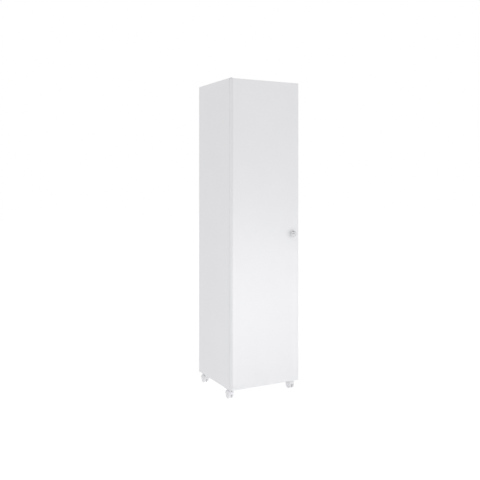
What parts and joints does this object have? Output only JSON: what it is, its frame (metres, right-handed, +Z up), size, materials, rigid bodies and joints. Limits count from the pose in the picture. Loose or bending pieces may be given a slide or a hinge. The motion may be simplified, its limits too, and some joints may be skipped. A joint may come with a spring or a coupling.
{
  "type": "broom cupboard",
  "caption": "Tall narrow white broom cupboard with a knobbed pivot-hung door, a broom bay, shelves and twin-wheel swivel castors.",
  "frame": {"origin": "on the floor, under the middle of the outer box", "axes": "+Z up, the door faces -Y, +X to the right as seen from the front"},
  "size_m": [0.4, 0.4114, 1.6215],
  "materials": {
    "white_board": "smooth satin white melamine on particle board, banded edges",
    "white_hardboard": "thin white-faced hardboard",
    "polished_knob": "polished chrome plating",
    "zinc_steel": "bright zinc plating",
    "cam_zinc": "die-cast zinc, dull",
    "beech": "fluted beech, unfinished",
    "white_nylon": "moulded nylon",
    "black_nylon": "moulded nylon",
    "clear_rubber": "soft translucent",
    "catch_plastic": "moulded white plastic",
    "ferrite": "sintered ferrite",
    "castor_steel": "bright zinc plating",
    "castor_plastic": "moulded white plastic, fine texture",
    "wheel_plastic": "moulded hard pale-grey plastic"
  },
  "bodies": {
    "carcass": {"left_side_panel": "white_board", "right_side_panel": "white_board", "top_panel": "white_board", "bottom_panel": "white_board", "fixed_shelf": "white_board", "divider_panel": "white_board", "lower_small_shelf": "white_board", "middle_small_shelf": "white_board", "upper_small_shelf": "white_board", "back_panel": "white_hardboard", "upper_pivot_bracket": "zinc_steel", "lower_pivot_bracket": "zinc_steel", "upper_pivot_pin": "zinc_steel", "lower_pivot_pin": "zinc_steel", "pivot_screws": "zinc_steel", "catch_poles": "zinc_steel", "catch_screws": "zinc_steel", "castor_screws": "zinc_steel", "cam_bolts": "zinc_steel", "shelf_pins": "zinc_steel", "cam_locks": "cam_zinc", "wood_dowels": "beech", "catch_housing": "catch_plastic", "catch_magnet": "ferrite", "front_left_castor_plate": "castor_steel", "front_left_castor_stem": "castor_steel", "front_right_castor_plate": "castor_steel", "front_right_castor_stem": "castor_steel", "rear_left_castor_plate": "castor_steel", "rear_left_castor_stem": "castor_steel", "rear_right_castor_plate": "castor_steel", "rear_right_castor_stem": "castor_steel"},
    "door": {"door_panel": "white_board", "door_knob": "polished_knob", "knob_screw": "zinc_steel", "door_bumpers": "clear_rubber", "upper_pivot_bush": "white_nylon", "lower_pivot_bush": "black_nylon", "catch_strike": "zinc_steel", "strike_screw": "zinc_steel"},
    "front_left_castor": {"front_left_castor_hood": "castor_plastic", "front_left_castor_axle": "castor_steel"},
    "front_left_wheel_left": {"front_left_castor_wheel_left": "wheel_plastic"},
    "front_left_wheel_right": {"front_left_castor_wheel_right": "wheel_plastic"},
    "front_right_castor": {"front_right_castor_hood": "castor_plastic", "front_right_castor_axle": "castor_steel"},
    "front_right_wheel_left": {"front_right_castor_wheel_left": "wheel_plastic"},
    "front_right_wheel_right": {"front_right_castor_wheel_right": "wheel_plastic"},
    "rear_left_castor": {"rear_left_castor_hood": "castor_plastic", "rear_left_castor_axle": "castor_steel"},
    "rear_left_wheel_left": {"rear_left_castor_wheel_left": "wheel_plastic"},
    "rear_left_wheel_right": {"rear_left_castor_wheel_right": "wheel_plastic"},
    "rear_right_castor": {"rear_right_castor_hood": "castor_plastic", "rear_right_castor_axle": "castor_steel"},
    "rear_right_wheel_left": {"rear_right_castor_wheel_left": "wheel_plastic"},
    "rear_right_wheel_right": {"rear_right_castor_wheel_right": "wheel_plastic"}
  },
  "joints": [
    {"name": "door_swing", "type": "hinge", "parent": "carcass", "child": "door", "pos_m": [-0.1942, -0.17785, 0.8], "axis": [0, 0, -1], "range_deg": [0, 170]},
    {"name": "front_left_swivel", "type": "hinge", "parent": "carcass", "child": "front_left_castor", "pos_m": [-0.18, -0.11685, 0.043], "axis": [0, 0, 1], "continuous": true},
    {"name": "front_left_wheel_left_spin", "type": "hinge", "parent": "front_left_castor", "child": "front_left_wheel_left", "pos_m": [-0.18, -0.12885, 0.02], "axis": [1, 0, 0], "continuous": true},
    {"name": "front_left_wheel_right_spin", "type": "hinge", "parent": "front_left_castor", "child": "front_left_wheel_right", "pos_m": [-0.18, -0.12885, 0.02], "axis": [1, 0, 0], "continuous": true},
    {"name": "front_right_swivel", "type": "hinge", "parent": "carcass", "child": "front_right_castor", "pos_m": [0.18, -0.11685, 0.043], "axis": [0, 0, 1], "continuous": true},
    {"name": "front_right_wheel_left_spin", "type": "hinge", "parent": "front_right_castor", "child": "front_right_wheel_left", "pos_m": [0.18, -0.12885, 0.02], "axis": [1, 0, 0], "continuous": true},
    {"name": "front_right_wheel_right_spin", "type": "hinge", "parent": "front_right_castor", "child": "front_right_wheel_right", "pos_m": [0.18, -0.12885, 0.02], "axis": [1, 0, 0], "continuous": true},
    {"name": "rear_left_swivel", "type": "hinge", "parent": "carcass", "child": "rear_left_castor", "pos_m": [-0.18, 0.15615, 0.043], "axis": [0, 0, 1], "continuous": true},
    {"name": "rear_left_wheel_left_spin", "type": "hinge", "parent": "rear_left_castor", "child": "rear_left_wheel_left", "pos_m": [-0.18, 0.16815, 0.02], "axis": [1, 0, 0], "continuous": true},
    {"name": "rear_left_wheel_right_spin", "type": "hinge", "parent": "rear_left_castor", "child": "rear_left_wheel_right", "pos_m": [-0.18, 0.16815, 0.02], "axis": [1, 0, 0], "continuous": true},
    {"name": "rear_right_swivel", "type": "hinge", "parent": "carcass", "child": "rear_right_castor", "pos_m": [0.18, 0.15615, 0.043], "axis": [0, 0, 1], "continuous": true},
    {"name": "rear_right_wheel_left_spin", "type": "hinge", "parent": "rear_right_castor", "child": "rear_right_wheel_left", "pos_m": [0.18, 0.16815, 0.02], "axis": [1, 0, 0], "continuous": true},
    {"name": "rear_right_wheel_right_spin", "type": "hinge", "parent": "rear_right_castor", "child": "rear_right_wheel_right", "pos_m": [0.18, 0.16815, 0.02], "axis": [1, 0, 0], "continuous": true}
  ]
}
